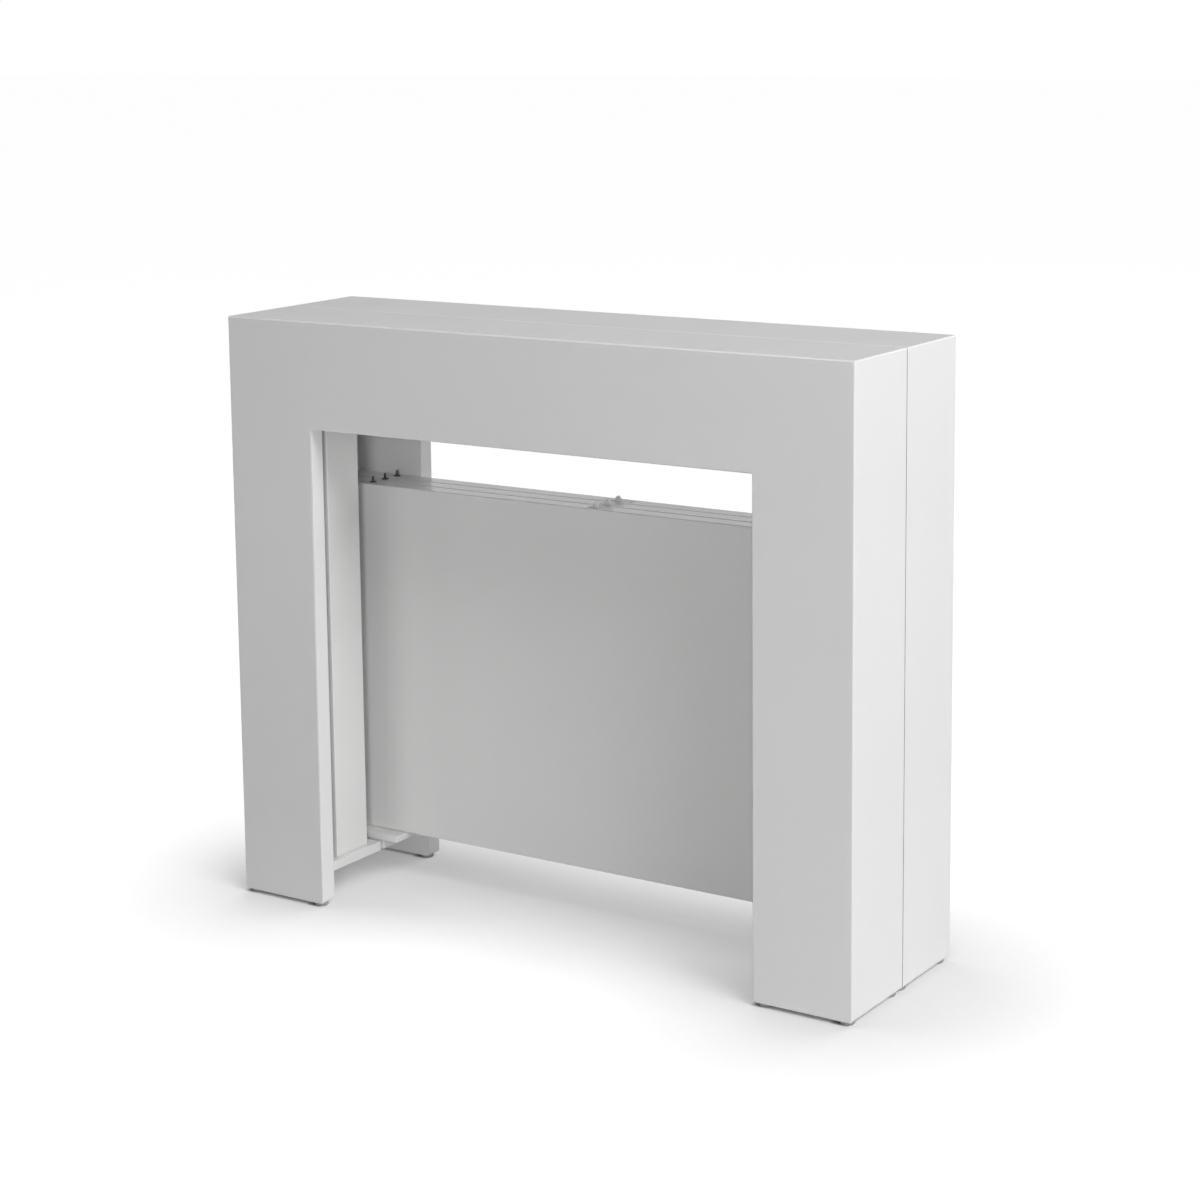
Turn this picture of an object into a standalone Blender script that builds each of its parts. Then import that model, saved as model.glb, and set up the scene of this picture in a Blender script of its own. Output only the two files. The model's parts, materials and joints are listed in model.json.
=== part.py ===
"""Extendable console table: two hollow portals that part on telescopic rails, with leaves stored inside."""

import math

import bmesh
import bpy
from mathutils import Matrix, Vector

# Driving dimensions in metres
WIDTH = 0.890
HEIGHT = 0.760
PANEL = 0.024
LEG_WIDTH = 0.129
BEAM_HEIGHT = 0.136
SEAM = 0.002
ARRIS = 0.002
SEAM_ARRIS = 0.0018
FOOT_ROUND = 0.005

GLIDE_HEIGHT = 0.005
GLIDE_DIAMETER = 0.017
GLIDE_CHAMFER = 0.001

BOARD = 0.012
BOARD_ARRIS = 0.0006
BOARD_RISE = 0.0385
BOARD_SETBACK = 0.002
REST = 0.0085
REST_OVERHANG = 0.0225
CHEEK = 0.020
CHEEK_WIDTH = 0.063
CHEEK_INSET = 0.008
CHEEK_SETBACK = 0.021

LEAF_COUNT = 3
LEAF_GAP = 0.001
LEAF_BACK_GAP = 0.003
LEAF_FRONT_GAP = 0.022
LEAF_END_GAP = 0.006
LEAF_ARRIS = 0.0012

PIN_END_INSET = 0.0705
PIN_DIAMETER = 0.004
PIN_TIP = 0.0026
PIN_HEIGHT = 0.008
PIN_SHANK = 0.016
COLLAR_DIAMETER = 0.0095
COLLAR_HEIGHT = 0.0015

CATCH_X = 0.010
CATCH_LENGTH = 0.034
CATCH_WIDTH = 0.014
CATCH_PLATE = 0.002
TONGUE_WIDTH = 0.007
TONGUE_HEIGHT = 0.006
TONGUE_THICKNESS = 0.003
SLOT_LENGTH = 0.009
SLOT_DEPTH = 0.010

RAIL_MEMBERS = 10
RAIL_HEIGHT = 0.040
RAIL_THICKNESS = 0.0115
RAIL_ARRIS = 0.0006
RAIL_LEG_GAP = 0.010
RAIL_TOP_GAP = 0.001
RAIL_END_GAP = 0.003
RAIL_STOP = 0.006
SHOE_LENGTH = 0.0378
SHOE_INSET = 0.001
SHOE_NECK = 0.008
SHOE_HEAD = 0.016
SHOE_HEAD_THICKNESS = 0.003
GROOVE_LIP = 0.0022
FLANGE_WIDTH = 0.018
FLANGE_THICKNESS = 0.003

# Clearances: glued or screwed seats, sliding faces, and how far a cutter runs past what it cuts
SEAT = 0.0003
SLIDE = 0.0004
PAST = 0.010
SINK = 0.001

# Facets of the round shapes
ARRIS_STEPS = 3
FOOT_STEPS = 4
TONGUE_STEPS = 8
PIN_STEPS = 16
GLIDE_STEPS = 24

# Worked out from the driving dimensions
LEAF = PANEL + RAIL_TOP_GAP
STACK = LEAF_COUNT * LEAF + (LEAF_COUNT - 1) * LEAF_GAP
PORTAL_DEPTH = PANEL + LEAF_BACK_GAP + STACK + LEAF_FRONT_GAP
DEPTH = 2 * PORTAL_DEPTH + SEAM
RAIL_LENGTH = DEPTH - 2 * (PANEL + RAIL_END_GAP)
RAIL_TRAVEL = RAIL_LENGTH - RAIL_STOP - SHOE_LENGTH - SHOE_INSET - SLIDE
EXTENSION = (RAIL_MEMBERS - 1) * RAIL_TRAVEL
LEAF_WIDTH = EXTENSION / LEAF_COUNT
LEAF_LENGTH = WIDTH - 2 * (PANEL + LEAF_END_GAP)
MITRE = SEAT / math.sqrt(2)
BOARD_TOP = GLIDE_HEIGHT + BOARD_RISE + BOARD
REST_TOP = BOARD_TOP + SEAT + REST
TOP_UNDERSIDE = HEIGHT - PANEL
RAIL_TOP = TOP_UNDERSIDE - RAIL_TOP_GAP
LEAF_MIDDLE = RAIL_TOP + LEAF / 2
PIN_X = LEAF_LENGTH / 2 - PIN_END_INSET

LEFT = -1
RIGHT = 1
SIDE_NAMES = {LEFT: "left", RIGHT: "right"}


def clear_scene():
    for item in list(bpy.data.objects):
        bpy.data.objects.remove(item, do_unlink=True)


def new_collection(name):
    collection = bpy.data.collections.new(name)
    bpy.context.scene.collection.children.link(collection)
    return collection


def new_material(name, colour, roughness, metallic=0.0):
    material = bpy.data.materials.new(name)
    material.use_nodes = True
    shader = material.node_tree.nodes["Principled BSDF"]
    shader.inputs["Base Color"].default_value = (*colour, 1.0)
    shader.inputs["Roughness"].default_value = roughness
    shader.inputs["Metallic"].default_value = metallic
    material.diffuse_color = (*colour, 1.0)
    return material


clear_scene()
PARTS = new_collection("extendable_console_table")
CUTTERS = new_collection("cutters")
LACQUER = new_material("white_lacquer", (0.84, 0.84, 0.84), 0.35)
BOARD_FOIL = new_material("white_board_foil", (0.78, 0.78, 0.78), 0.5)
ALUMINIUM = new_material("drawn_aluminium", (0.72, 0.73, 0.74), 0.35, 1.0)
STEEL = new_material("zinc_plated_steel", (0.55, 0.55, 0.56), 0.3, 1.0)
BLACK_STEEL = new_material("blackened_steel", (0.03, 0.03, 0.03), 0.45)
NYLON = new_material("grey_nylon", (0.32, 0.32, 0.32), 0.6)


def add_empty(name, location, turn=0.0, parent=None):
    """An empty that carries a body: its origin lies on the body's line of travel."""
    empty = bpy.data.objects.new(name, None)
    empty.location = location
    empty.rotation_euler.z = turn
    empty.parent = parent
    empty.empty_display_size = 0.05
    PARTS.objects.link(empty)
    return empty


def add_part(name, mesh, material, parent, location=(0.0, 0.0, 0.0)):
    part = bpy.data.objects.new(name, mesh)
    part.location = location
    part.parent = parent
    if not mesh.materials:
        mesh.materials.append(material)
    PARTS.objects.link(part)
    return part


def add_cutter(name, mesh, parent=None, location=(0.0, 0.0, 0.0)):
    cutter = bpy.data.objects.new(name, mesh)
    cutter.location = location
    cutter.parent = parent
    cutter.hide_render = True
    cutter.display_type = "WIRE"
    CUTTERS.objects.link(cutter)
    return cutter


def cut(part, cutter, operation="DIFFERENCE"):
    modifier = part.modifiers.new(operation.lower(), "BOOLEAN")
    modifier.operation = operation
    modifier.object = cutter
    modifier.solver = "EXACT"


def baked(blank, name):
    """The blank's mesh with its modifiers worked in. The blank itself is removed."""
    bpy.context.view_layer.update()
    graph = bpy.context.evaluated_depsgraph_get()
    mesh = bpy.data.meshes.new_from_object(blank.evaluated_get(graph))
    mesh.name = name
    bpy.data.objects.remove(blank, do_unlink=True)
    return mesh


def mesh_from(work, name):
    bmesh.ops.recalc_face_normals(work, faces=work.faces)
    mesh = bpy.data.meshes.new(name)
    work.to_mesh(mesh)
    work.free()
    return mesh


def reshaped_cube(name, place):
    """A cube whose corners, given as shares of 0 or 1 along x, y and z, are put where place says."""
    work = bmesh.new()
    bmesh.ops.create_cube(work, size=1.0)
    for corner in work.verts:
        share = corner.co + Vector((0.5, 0.5, 0.5))
        corner.co = place(share.x, share.y, share.z)
    return mesh_from(work, name)


def mix(low, high, share):
    return low + (high - low) * share


def box(name, low, high):
    def place(*shares):
        return Vector(mix(start, end, share) for start, end, share in zip(low, high, shares))

    return reshaped_cube(name, place)


def add_bevel(part, width, segments=1):
    bevel = part.modifiers.new("arris", "BEVEL")
    bevel.width = width
    bevel.segments = segments
    bevel.limit_method = "ANGLE"


def outline_prism(name, points, length):
    """An outline in x and z, extruded along +y from 0 to length."""
    curve = bpy.data.curves.new(name, "CURVE")
    curve.dimensions = "2D"
    curve.fill_mode = "BOTH"
    curve.extrude = length / 2
    spline = curve.splines.new("POLY")
    spline.points.add(len(points) - 1)
    for point, (x, z) in zip(spline.points, points):
        point.co = (x, z, 0.0, 1.0)
    spline.use_cyclic_u = True
    drawn = bpy.data.objects.new(name, curve)
    CUTTERS.objects.link(drawn)
    mesh = baked(drawn, name)
    bpy.data.curves.remove(curve)
    work = bmesh.new()
    work.from_mesh(mesh)
    bpy.data.meshes.remove(mesh)
    bmesh.ops.remove_doubles(work, verts=work.verts, dist=0.00001)
    upright = Matrix.Translation((0.0, length / 2, 0.0)) @ Matrix.Rotation(math.pi / 2, 4, "X")
    bmesh.ops.transform(work, matrix=upright, verts=work.verts)
    return mesh_from(work, name)


def turned(name, profile, segments):
    """A profile of radius and height, listed from the top down, turned about z."""
    mesh = bpy.data.meshes.new(name)
    mesh.from_pydata([(r, 0.0, z) for r, z in profile], [(i, i + 1) for i in range(len(profile) - 1)], [])
    blank = bpy.data.objects.new(name, mesh)
    CUTTERS.objects.link(blank)
    screw = blank.modifiers.new("turn", "SCREW")
    screw.steps = segments
    screw.render_steps = segments
    screw.use_merge_vertices = True
    screw.merge_threshold = 0.00001
    done = baked(blank, name)
    bpy.data.meshes.remove(mesh)
    done.shade_smooth()
    done.set_sharp_from_angle(angle=math.radians(35))
    return done


# Portal panels. A portal is worked out facing -y, with its face at y = 0, its seam at y = PORTAL_DEPTH and
# its middle at x = 0. The rear one is the same portal turned half round.


def face_wedge():
    """The space of the face panel: it narrows by its own thickness towards the inside, at 45 degrees."""

    def place(x, y, z):
        depth = mix(-PAST, PANEL, y)
        half = WIDTH / 2 - depth - MITRE
        return Vector((mix(-half, half, x), depth, mix(-PAST, HEIGHT - depth - MITRE, z)))

    return reshaped_cube("face_wedge", place)


def side_wedge(side):
    """The space of a side panel, mitred to the face panel and to the top panel."""

    def place(x, y, z):
        depth = mix(-PAST, PANEL, x)
        start = depth + MITRE
        end = PORTAL_DEPTH + PAST
        top = HEIGHT - depth - MITRE
        return Vector((side * (WIDTH / 2 - depth), mix(start, end, y), mix(-PAST, top, z)))

    return reshaped_cube("side_wedge", place)


def top_wedge():
    """The space of the top panel, mitred to the face panel and to both side panels."""

    def place(x, y, z):
        depth = mix(PANEL, -PAST, z)
        half = WIDTH / 2 - depth - MITRE
        return Vector((mix(-half, half, x), mix(depth + MITRE, PORTAL_DEPTH + PAST, y), HEIGHT - depth))

    return reshaped_cube("top_wedge", place)


def envelope():
    """The portal's outer block, with the arrises that the lacquered panels share."""
    mesh = box("envelope", (-WIDTH / 2, 0.0, GLIDE_HEIGHT), (WIDTH / 2, PORTAL_DEPTH, HEIGHT))
    largest = max(ARRIS, SEAM_ARRIS, FOOT_ROUND)
    work = bmesh.new()
    work.from_mesh(mesh)
    weight = work.edges.layers.float.new("bevel_weight_edge")
    for edge in work.edges:
        middle = (edge.verts[0].co + edge.verts[1].co) / 2
        at_seam = middle.y > PORTAL_DEPTH - PAST
        at_foot = middle.z < GLIDE_HEIGHT + PAST
        along_depth = abs(edge.verts[0].co.y - edge.verts[1].co.y) > PAST
        radius = SEAM_ARRIS if at_seam or at_foot else ARRIS
        if at_foot and along_depth:
            radius = FOOT_ROUND
        edge[weight] = radius / largest
    work.to_mesh(mesh)
    work.free()
    return mesh, largest


def arch_outline():
    """The opening between the legs, wider by a quarter round at each foot."""
    half = WIDTH / 2 - LEG_WIDTH
    top = HEIGHT - BEAM_HEIGHT
    rounds = [math.pi / 2 * i / FOOT_STEPS for i in range(FOOT_STEPS + 1)]
    foot = [
        (half + FOOT_ROUND * (1 - math.sin(turn)), GLIDE_HEIGHT + FOOT_ROUND * (1 - math.cos(turn)))
        for turn in rounds
    ]
    right = [(half + FOOT_ROUND, GLIDE_HEIGHT - PAST), *foot, (half, top)]
    left = [(-x, z) for x, z in reversed(right)]
    return right + left


def arch_rim():
    """A flare that takes the sharp arris off the front of the opening."""

    def place(x, y, z):
        depth = mix(-SEAM_ARRIS, 2 * SEAM_ARRIS, y)
        half = WIDTH / 2 - LEG_WIDTH + SEAM_ARRIS - depth
        top = HEIGHT - BEAM_HEIGHT + SEAM_ARRIS - depth
        return Vector((mix(-half, half, x), depth, mix(-PAST, top, z)))

    return reshaped_cube("arch_rim", place)


def glide_mesh():
    radius = GLIDE_DIAMETER / 2
    seat = GLIDE_HEIGHT - SEAT
    rim = (radius, seat), (radius, GLIDE_CHAMFER), (radius - GLIDE_CHAMFER, 0.0)
    return turned("glide", [(0.0, seat), *rim, (0.0, 0.0)], GLIDE_STEPS)


def add_panels(portal, carrier, turned_round):
    """The four lacquered panels of a portal, cut from one rounded block along their mitres."""
    block_mesh, largest = envelope()
    block = add_cutter(f"{portal}_envelope", block_mesh, carrier)
    bevel = block.modifiers.new("arris", "BEVEL")
    bevel.width = largest
    bevel.segments = ARRIS_STEPS
    bevel.limit_method = "WEIGHT"
    arch_mesh = outline_prism("arch", arch_outline(), PANEL + 2 * PAST)
    arch = add_cutter(f"{portal}_arch", arch_mesh, carrier, (0.0, -PAST, 0.0))
    rim = add_cutter(f"{portal}_arch_rim", arch_rim(), carrier)
    face_name = "back_panel" if turned_round else "face_panel"
    face = add_part(f"{portal}_{face_name}", face_wedge(), LACQUER, carrier)
    top = add_part(f"{portal}_top_panel", top_wedge(), LACQUER, carrier)
    panels = [face, top]
    for side in (LEFT, RIGHT):
        name = SIDE_NAMES[-side if turned_round else side]
        panels.append(add_part(f"{portal}_{name}_side_panel", side_wedge(side), LACQUER, carrier))
    for panel in panels:
        cut(panel, block, "INTERSECT")
    cut(face, arch)
    cut(face, rim)


def add_leg_pieces(portal, carrier, turned_round):
    """The bottom board across each hollow leg, and three glides under its panels."""
    glide = glide_mesh()
    inset = PANEL / 2
    for side in (LEFT, RIGHT):
        name = SIDE_NAMES[-side if turned_round else side]
        low_x, high_x = sorted((side * (WIDTH / 2 - PANEL - SEAT), side * (WIDTH / 2 - LEG_WIDTH)))
        low = (low_x, PANEL + SEAT, BOARD_TOP - BOARD)
        high = (high_x, PORTAL_DEPTH - BOARD_SETBACK, BOARD_TOP)
        board_mesh = box("bottom_board", low, high)
        board = add_part(f"{portal}_{name}_bottom_board", board_mesh, BOARD_FOIL, carrier)
        add_bevel(board, BOARD_ARRIS)
        places = {
            "corner": (WIDTH / 2 - inset, inset),
            "inner": (WIDTH / 2 - LEG_WIDTH + inset, inset),
            "seam": (WIDTH / 2 - inset, PORTAL_DEPTH - inset),
        }
        for spot, (x, y) in places.items():
            add_part(f"{portal}_{name}_{spot}_glide", glide, NYLON, carrier, (side * x, y, 0.0))


def add_cheeks(carrier):
    """Upright boards that stiffen the front legs, set back from the opening's edge and from the seam."""
    for side in (LEFT, RIGHT):
        face = side * (WIDTH / 2 - LEG_WIDTH + CHEEK_INSET)
        low_x, high_x = sorted((face, face + side * CHEEK))
        back = PORTAL_DEPTH - CHEEK_SETBACK
        low = (low_x, back - CHEEK_WIDTH, BOARD_TOP + SEAT)
        high = (high_x, back, TOP_UNDERSIDE - SEAT)
        cheek = add_part(f"front_{SIDE_NAMES[side]}_cheek", box("cheek", low, high), BOARD_FOIL, carrier)
        add_bevel(cheek, BOARD_ARRIS)


def add_rests(carrier):
    """Boards on top of the rear bottom boards, longer than they are, on which the leaves stand."""
    for side in (LEFT, RIGHT):
        outer_end = side * (WIDTH / 2 - PANEL - SEAT)
        low_x, high_x = sorted((outer_end, side * (WIDTH / 2 - LEG_WIDTH - REST_OVERHANG)))
        low = (low_x, PANEL + SEAT, BOARD_TOP + SEAT)
        high = (high_x, PORTAL_DEPTH - SEAT, REST_TOP)
        rest = add_part(f"{SIDE_NAMES[-side]}_leaf_rest", box("leaf_rest", low, high), BOARD_FOIL, carrier)
        add_bevel(rest, BOARD_ARRIS)


# Leaves. A leaf is worked out with its lower edge's middle at the origin, and its faces square to y.


def pin_mesh():
    """An alignment pin: a tapered tip, a collar that lies on the edge, and a shank let into the leaf."""
    radius = PIN_DIAMETER / 2
    collar = COLLAR_DIAMETER / 2
    tip = PIN_HEIGHT
    end = PIN_TIP / 2
    nose = end / 2
    profile = [
        (0.0, tip),
        (nose, tip),
        (end, tip - nose),
        (radius, COLLAR_HEIGHT),
        (collar, COLLAR_HEIGHT / 2),
        (collar, 0.0),
        (radius, 0.0),
        (radius, -PIN_SHANK),
        (0.0, -PIN_SHANK),
    ]
    return turned("leaf_pin", profile, PIN_STEPS)


def pin_hole():
    """The hole that takes a pin's shank, open at the edge."""
    radius = PIN_DIAMETER / 2 + SEAT
    bottom = -PIN_SHANK - 2 * SEAT
    return turned("pin_hole", [(0.0, PAST), (radius, PAST), (radius, bottom), (0.0, bottom)], PIN_STEPS)


def pin_socket():
    """The hole in the other edge that takes the next leaf's pin, stepped for its collar."""
    radius = PIN_DIAMETER / 2 + SLIDE
    collar = COLLAR_DIAMETER / 2 + SLIDE
    step = COLLAR_HEIGHT + SLIDE
    depth = PIN_HEIGHT + SLIDE
    profile = [(0.0, depth), (radius, depth), (radius, step), (collar, step), (collar, -PAST), (0.0, -PAST)]
    return turned("pin_socket", profile, PIN_STEPS)


def tongue_place():
    """The tongue's middle along the plate, left of the plate's own middle."""
    return -CATCH_LENGTH / 2 + SLOT_LENGTH + SINK


def catch_slot(low, high):
    """A slot in front of the tongue and to its left, as wide as the tongue is thick, between two heights."""
    right = tongue_place()
    back = -TONGUE_THICKNESS / 2 - SINK
    front = back - TONGUE_THICKNESS - SLIDE
    return box("catch_slot", (right - SLOT_LENGTH, front, low), (right, back, high))


def catch_mesh():
    """A let-in plate with a round-headed tongue that stands up out of it."""
    half = CATCH_LENGTH / 2
    wide = CATCH_WIDTH / 2
    plate = add_cutter("catch_plate", box("catch_plate", (-half, -wide, -CATCH_PLATE), (half, wide, 0.0)))
    radius = TONGUE_WIDTH / 2
    shoulder = TONGUE_HEIGHT - radius
    turns = [math.pi * i / TONGUE_STEPS for i in range(TONGUE_STEPS + 1)]
    head = [(radius * math.cos(turn), shoulder + radius * math.sin(turn)) for turn in turns]
    points = [(-radius, -SINK), (radius, -SINK), *head]
    tongue_mesh = outline_prism("catch_tongue", points, TONGUE_THICKNESS)
    tongue = add_cutter("catch_tongue", tongue_mesh, None, (tongue_place(), -TONGUE_THICKNESS / 2, 0.0))
    cut(plate, tongue, "UNION")
    cut(plate, add_cutter("plate_slot", catch_slot(-PAST, PAST)))
    return baked(plate, "leaf_catch")


def catch_recess():
    half = CATCH_LENGTH / 2 + SEAT
    wide = CATCH_WIDTH / 2 + SEAT
    return box("catch_recess", (-half, -wide, -CATCH_PLATE - SEAT), (half, wide, PAST))


def tongue_slot():
    """The slot in the other edge that takes the next leaf's tongue."""
    half = TONGUE_WIDTH / 2 + SLIDE
    thick = TONGUE_THICKNESS / 2 + SLIDE
    middle = tongue_place()
    return box("tongue_slot", (middle - half, -thick, -PAST), (middle + half, thick, SLOT_DEPTH))


def leaf_mesh():
    half = LEAF_LENGTH / 2
    blank_mesh = box("leaf_blank", (-half, -LEAF / 2, 0.0), (half, LEAF / 2, LEAF_WIDTH))
    blank = add_cutter("leaf_blank", blank_mesh)
    add_bevel(blank, LEAF_ARRIS, 2)
    hole = pin_hole()
    socket = pin_socket()
    for side in (LEFT, RIGHT):
        x = side * PIN_X
        name = SIDE_NAMES[side]
        cut(blank, add_cutter(f"{name}_pin_hole", hole, None, (x, 0.0, LEAF_WIDTH)))
        cut(blank, add_cutter(f"{name}_pin_socket", socket, None, (x, 0.0, 0.0)))
    cut(blank, add_cutter("catch_recess", catch_recess(), None, (CATCH_X, 0.0, LEAF_WIDTH)))
    cut(blank, add_cutter("slot_pocket", catch_slot(-SLOT_DEPTH, PAST), None, (CATCH_X, 0.0, LEAF_WIDTH)))
    cut(blank, add_cutter("tongue_slot", tongue_slot(), None, (CATCH_X, 0.0, 0.0)))
    return baked(blank, "leaf")


def add_seam_cuts(portal, carrier, turned_round):
    """The front top panel's seam edge is cut as a leaf's upper edge is, for pins and a catch. The rear one
    is cut as a leaf's lower edge is, so a leaf fits between them, and they fit each other when closed."""
    if turned_round:
        pin_cutter, plain_cutters = pin_socket(), {"tongue_slot": tongue_slot()}
    else:
        pocket = catch_slot(-SLOT_DEPTH, PAST)
        pin_cutter, plain_cutters = pin_hole(), {"catch_recess": catch_recess(), "slot_pocket": pocket}
    cutters = [("left_pin", pin_cutter, -PIN_X), ("right_pin", pin_cutter, PIN_X)]
    catch_x = -CATCH_X if turned_round else CATCH_X
    cutters += [(name, mesh, catch_x) for name, mesh in plain_cutters.items()]
    panel = bpy.data.objects[f"{portal}_top_panel"]
    for name, mesh, x in cutters:
        cutter = add_cutter(f"{portal}_seam_{name}", mesh, carrier, (x, PORTAL_DEPTH, LEAF_MIDDLE))
        cutter.rotation_euler = (-math.pi / 2, 0.0, math.pi if turned_round else 0.0)
        cut(panel, cutter)


def add_leaves():
    leaf = leaf_mesh()
    pin = pin_mesh()
    catch = catch_mesh()
    for number in range(1, LEAF_COUNT + 1):
        behind = LEAF_COUNT - number
        y = DEPTH / 2 - PANEL - LEAF_BACK_GAP - LEAF / 2 - behind * (LEAF + LEAF_GAP)
        lift = add_empty(f"leaf_{number}_lift", (0.0, y, REST_TOP + SEAT))
        add_part(f"leaf_{number}", leaf, LACQUER, lift)
        for side in (LEFT, RIGHT):
            place = (side * PIN_X, 0.0, LEAF_WIDTH + SEAT)
            add_part(f"leaf_{number}_{SIDE_NAMES[side]}_pin", pin, BLACK_STEEL, lift, place)
        add_part(f"leaf_{number}_catch", catch, STEEL, lift, (CATCH_X, 0.0, LEAF_WIDTH))


# Telescopic rails. A member is worked out with its outer face at x = 0, its top at z = 0 and its rear end
# at y = 0. Its groove opens towards the middle of the table, and its shoe runs in the groove of its outer
# neighbour.


def hook_outline(neck, head, neck_end, head_end, start):
    """A T lying on its side, in x and z, around the member's middle height."""
    middle = -RAIL_HEIGHT / 2
    upper = [(start, neck / 2), (neck_end, neck / 2), (neck_end, head / 2), (head_end, head / 2)]
    lower = [(x, -z) for x, z in reversed(upper)]
    return [(x, middle + z) for x, z in upper + lower]


def mirrored(points, side):
    """Points worked out for the left rail, put on the given side."""
    return [(-side * x, z) for x, z in points]


def sided_box(name, side, x_range, y_range, z_range):
    low_x, high_x = sorted(-side * x for x in x_range)
    return box(name, (low_x, y_range[0], z_range[0]), (high_x, y_range[1], z_range[1]))


def groove_mesh(side):
    lip = RAIL_THICKNESS - GROOVE_LIP
    bottom = lip - SHOE_HEAD_THICKNESS - 2 * SLIDE
    points = hook_outline(SHOE_NECK + 2 * SLIDE, SHOE_HEAD + 2 * SLIDE, lip, bottom, RAIL_THICKNESS + PAST)
    return outline_prism("groove", mirrored(points, side), RAIL_LENGTH - RAIL_STOP + PAST)


def shoe_mesh(side):
    neck_end = -2 * SLIDE - GROOVE_LIP
    points = hook_outline(SHOE_NECK, SHOE_HEAD, neck_end, neck_end - SHOE_HEAD_THICKNESS, SINK)
    return outline_prism("shoe", mirrored(points, side), SHOE_LENGTH)


def flange_mesh(side, outward, at_rear):
    """The lug that is screwed up into one portal's top panel, over that portal's share of the member."""
    top = RAIL_TOP_GAP - SEAT
    length = RAIL_LENGTH / 2 - SEAM
    y_range = (-length, -SHOE_INSET) if at_rear else (SHOE_INSET - RAIL_LENGTH, length - RAIL_LENGTH)
    x_range = (-FLANGE_WIDTH, SINK) if outward else (RAIL_THICKNESS - SINK, RAIL_THICKNESS + FLANGE_WIDTH)
    return sided_box("flange", side, x_range, y_range, (-FLANGE_THICKNESS, top))


def member_mesh(side, first, last):
    bar_mesh = sided_box("bar", side, (0.0, RAIL_THICKNESS), (-RAIL_LENGTH, 0.0), (-RAIL_HEIGHT, 0.0))
    bar = add_cutter("bar", bar_mesh)
    add_bevel(bar, RAIL_ARRIS)
    if not last:
        cut(bar, add_cutter("groove", groove_mesh(side), None, (0.0, RAIL_STOP - RAIL_LENGTH, 0.0)))
    if not first:
        cut(bar, add_cutter("shoe", shoe_mesh(side), None, (0.0, -SHOE_INSET - SHOE_LENGTH, 0.0)), "UNION")
    if first:
        cut(bar, add_cutter("fixed_flange", flange_mesh(side, True, True)), "UNION")
    if last:
        cut(bar, add_cutter("moving_flange", flange_mesh(side, False, False)), "UNION")
    return baked(bar, "rail_member")


def add_rails(rear_carrier, front_carrier):
    """Both rails: first members on the rear portal, last ones on the front portal, the rest between."""
    rear_end = DEPTH / 2 - PANEL - RAIL_END_GAP
    pitch = RAIL_THICKNESS + SLIDE
    outer = WIDTH / 2 - LEG_WIDTH - RAIL_LEG_GAP - FLANGE_WIDTH
    last_index = RAIL_MEMBERS - 1
    stages = [
        add_empty(f"rail_stage_{index}", (0.0, rear_end, RAIL_TOP))
        for index in range(1, last_index)
    ]
    for side in (LEFT, RIGHT):
        name = SIDE_NAMES[side]
        fixed = member_mesh(side, True, False)
        middle = member_mesh(side, False, False)
        moving = member_mesh(side, False, True)
        place = (side * outer, rear_end, RAIL_TOP)
        add_part(f"{name}_rail_fixed_member", fixed, ALUMINIUM, rear_carrier, place)
        for index, stage in enumerate(stages, start=1):
            place = (side * (outer - index * pitch), 0.0, 0.0)
            add_part(f"{name}_rail_member_{index}", middle, ALUMINIUM, stage, place)
        place = (side * (outer - last_index * pitch), rear_end, RAIL_TOP)
        add_part(f"{name}_rail_moving_member", moving, ALUMINIUM, front_carrier, place)


def build():
    front_portal = add_empty("front_portal", (0.0, -DEPTH / 2, 0.0))
    rear_portal = add_empty("rear_portal", (0.0, DEPTH / 2, 0.0), math.pi)
    for portal, carrier, turned_round in (("front", front_portal, False), ("rear", rear_portal, True)):
        add_panels(portal, carrier, turned_round)
        add_leg_pieces(portal, carrier, turned_round)
        add_seam_cuts(portal, carrier, turned_round)
    add_cheeks(front_portal)
    add_rests(rear_portal)
    to_middle = (0.0, DEPTH / 2, 0.0)
    fixed_rails = add_empty("fixed_rails", to_middle, math.pi, rear_portal)
    moving_rails = add_empty("moving_rails", to_middle, 0.0, front_portal)
    add_rails(fixed_rails, moving_rails)
    add_leaves()


build()
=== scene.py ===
"""Looks of the extendable console table: lacquer, fittings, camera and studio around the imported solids."""

import json
import math

import bmesh
import bpy
import numpy as np
from mathutils import Matrix, Vector


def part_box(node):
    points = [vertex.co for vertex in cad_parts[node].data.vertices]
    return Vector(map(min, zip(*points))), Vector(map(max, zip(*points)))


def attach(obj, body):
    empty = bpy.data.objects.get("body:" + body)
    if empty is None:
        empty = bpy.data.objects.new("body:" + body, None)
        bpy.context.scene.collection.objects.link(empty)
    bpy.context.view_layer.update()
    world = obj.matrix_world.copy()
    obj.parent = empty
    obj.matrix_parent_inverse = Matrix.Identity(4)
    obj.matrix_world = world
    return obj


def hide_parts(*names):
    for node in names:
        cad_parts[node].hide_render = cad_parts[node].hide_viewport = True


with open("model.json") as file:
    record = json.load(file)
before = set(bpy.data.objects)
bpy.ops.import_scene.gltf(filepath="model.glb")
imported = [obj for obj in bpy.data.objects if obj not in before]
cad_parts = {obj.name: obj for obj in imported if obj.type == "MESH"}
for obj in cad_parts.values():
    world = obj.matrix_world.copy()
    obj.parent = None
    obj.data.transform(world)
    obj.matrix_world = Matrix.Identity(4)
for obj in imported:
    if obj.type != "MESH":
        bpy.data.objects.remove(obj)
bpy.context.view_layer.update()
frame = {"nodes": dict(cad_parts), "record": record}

# Sizes of the portals and of their seam, in metres, as the part has them. Only the sides' seam arris is
# finer than in the part.
TABLE_WIDTH = 0.890
TABLE_HEIGHT = 0.760
TABLE_DEPTH = 0.254
PORTAL_DEPTH = 0.126
PANEL = 0.024
LEG_WIDTH = 0.129
BEAM_HEIGHT = 0.136
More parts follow.
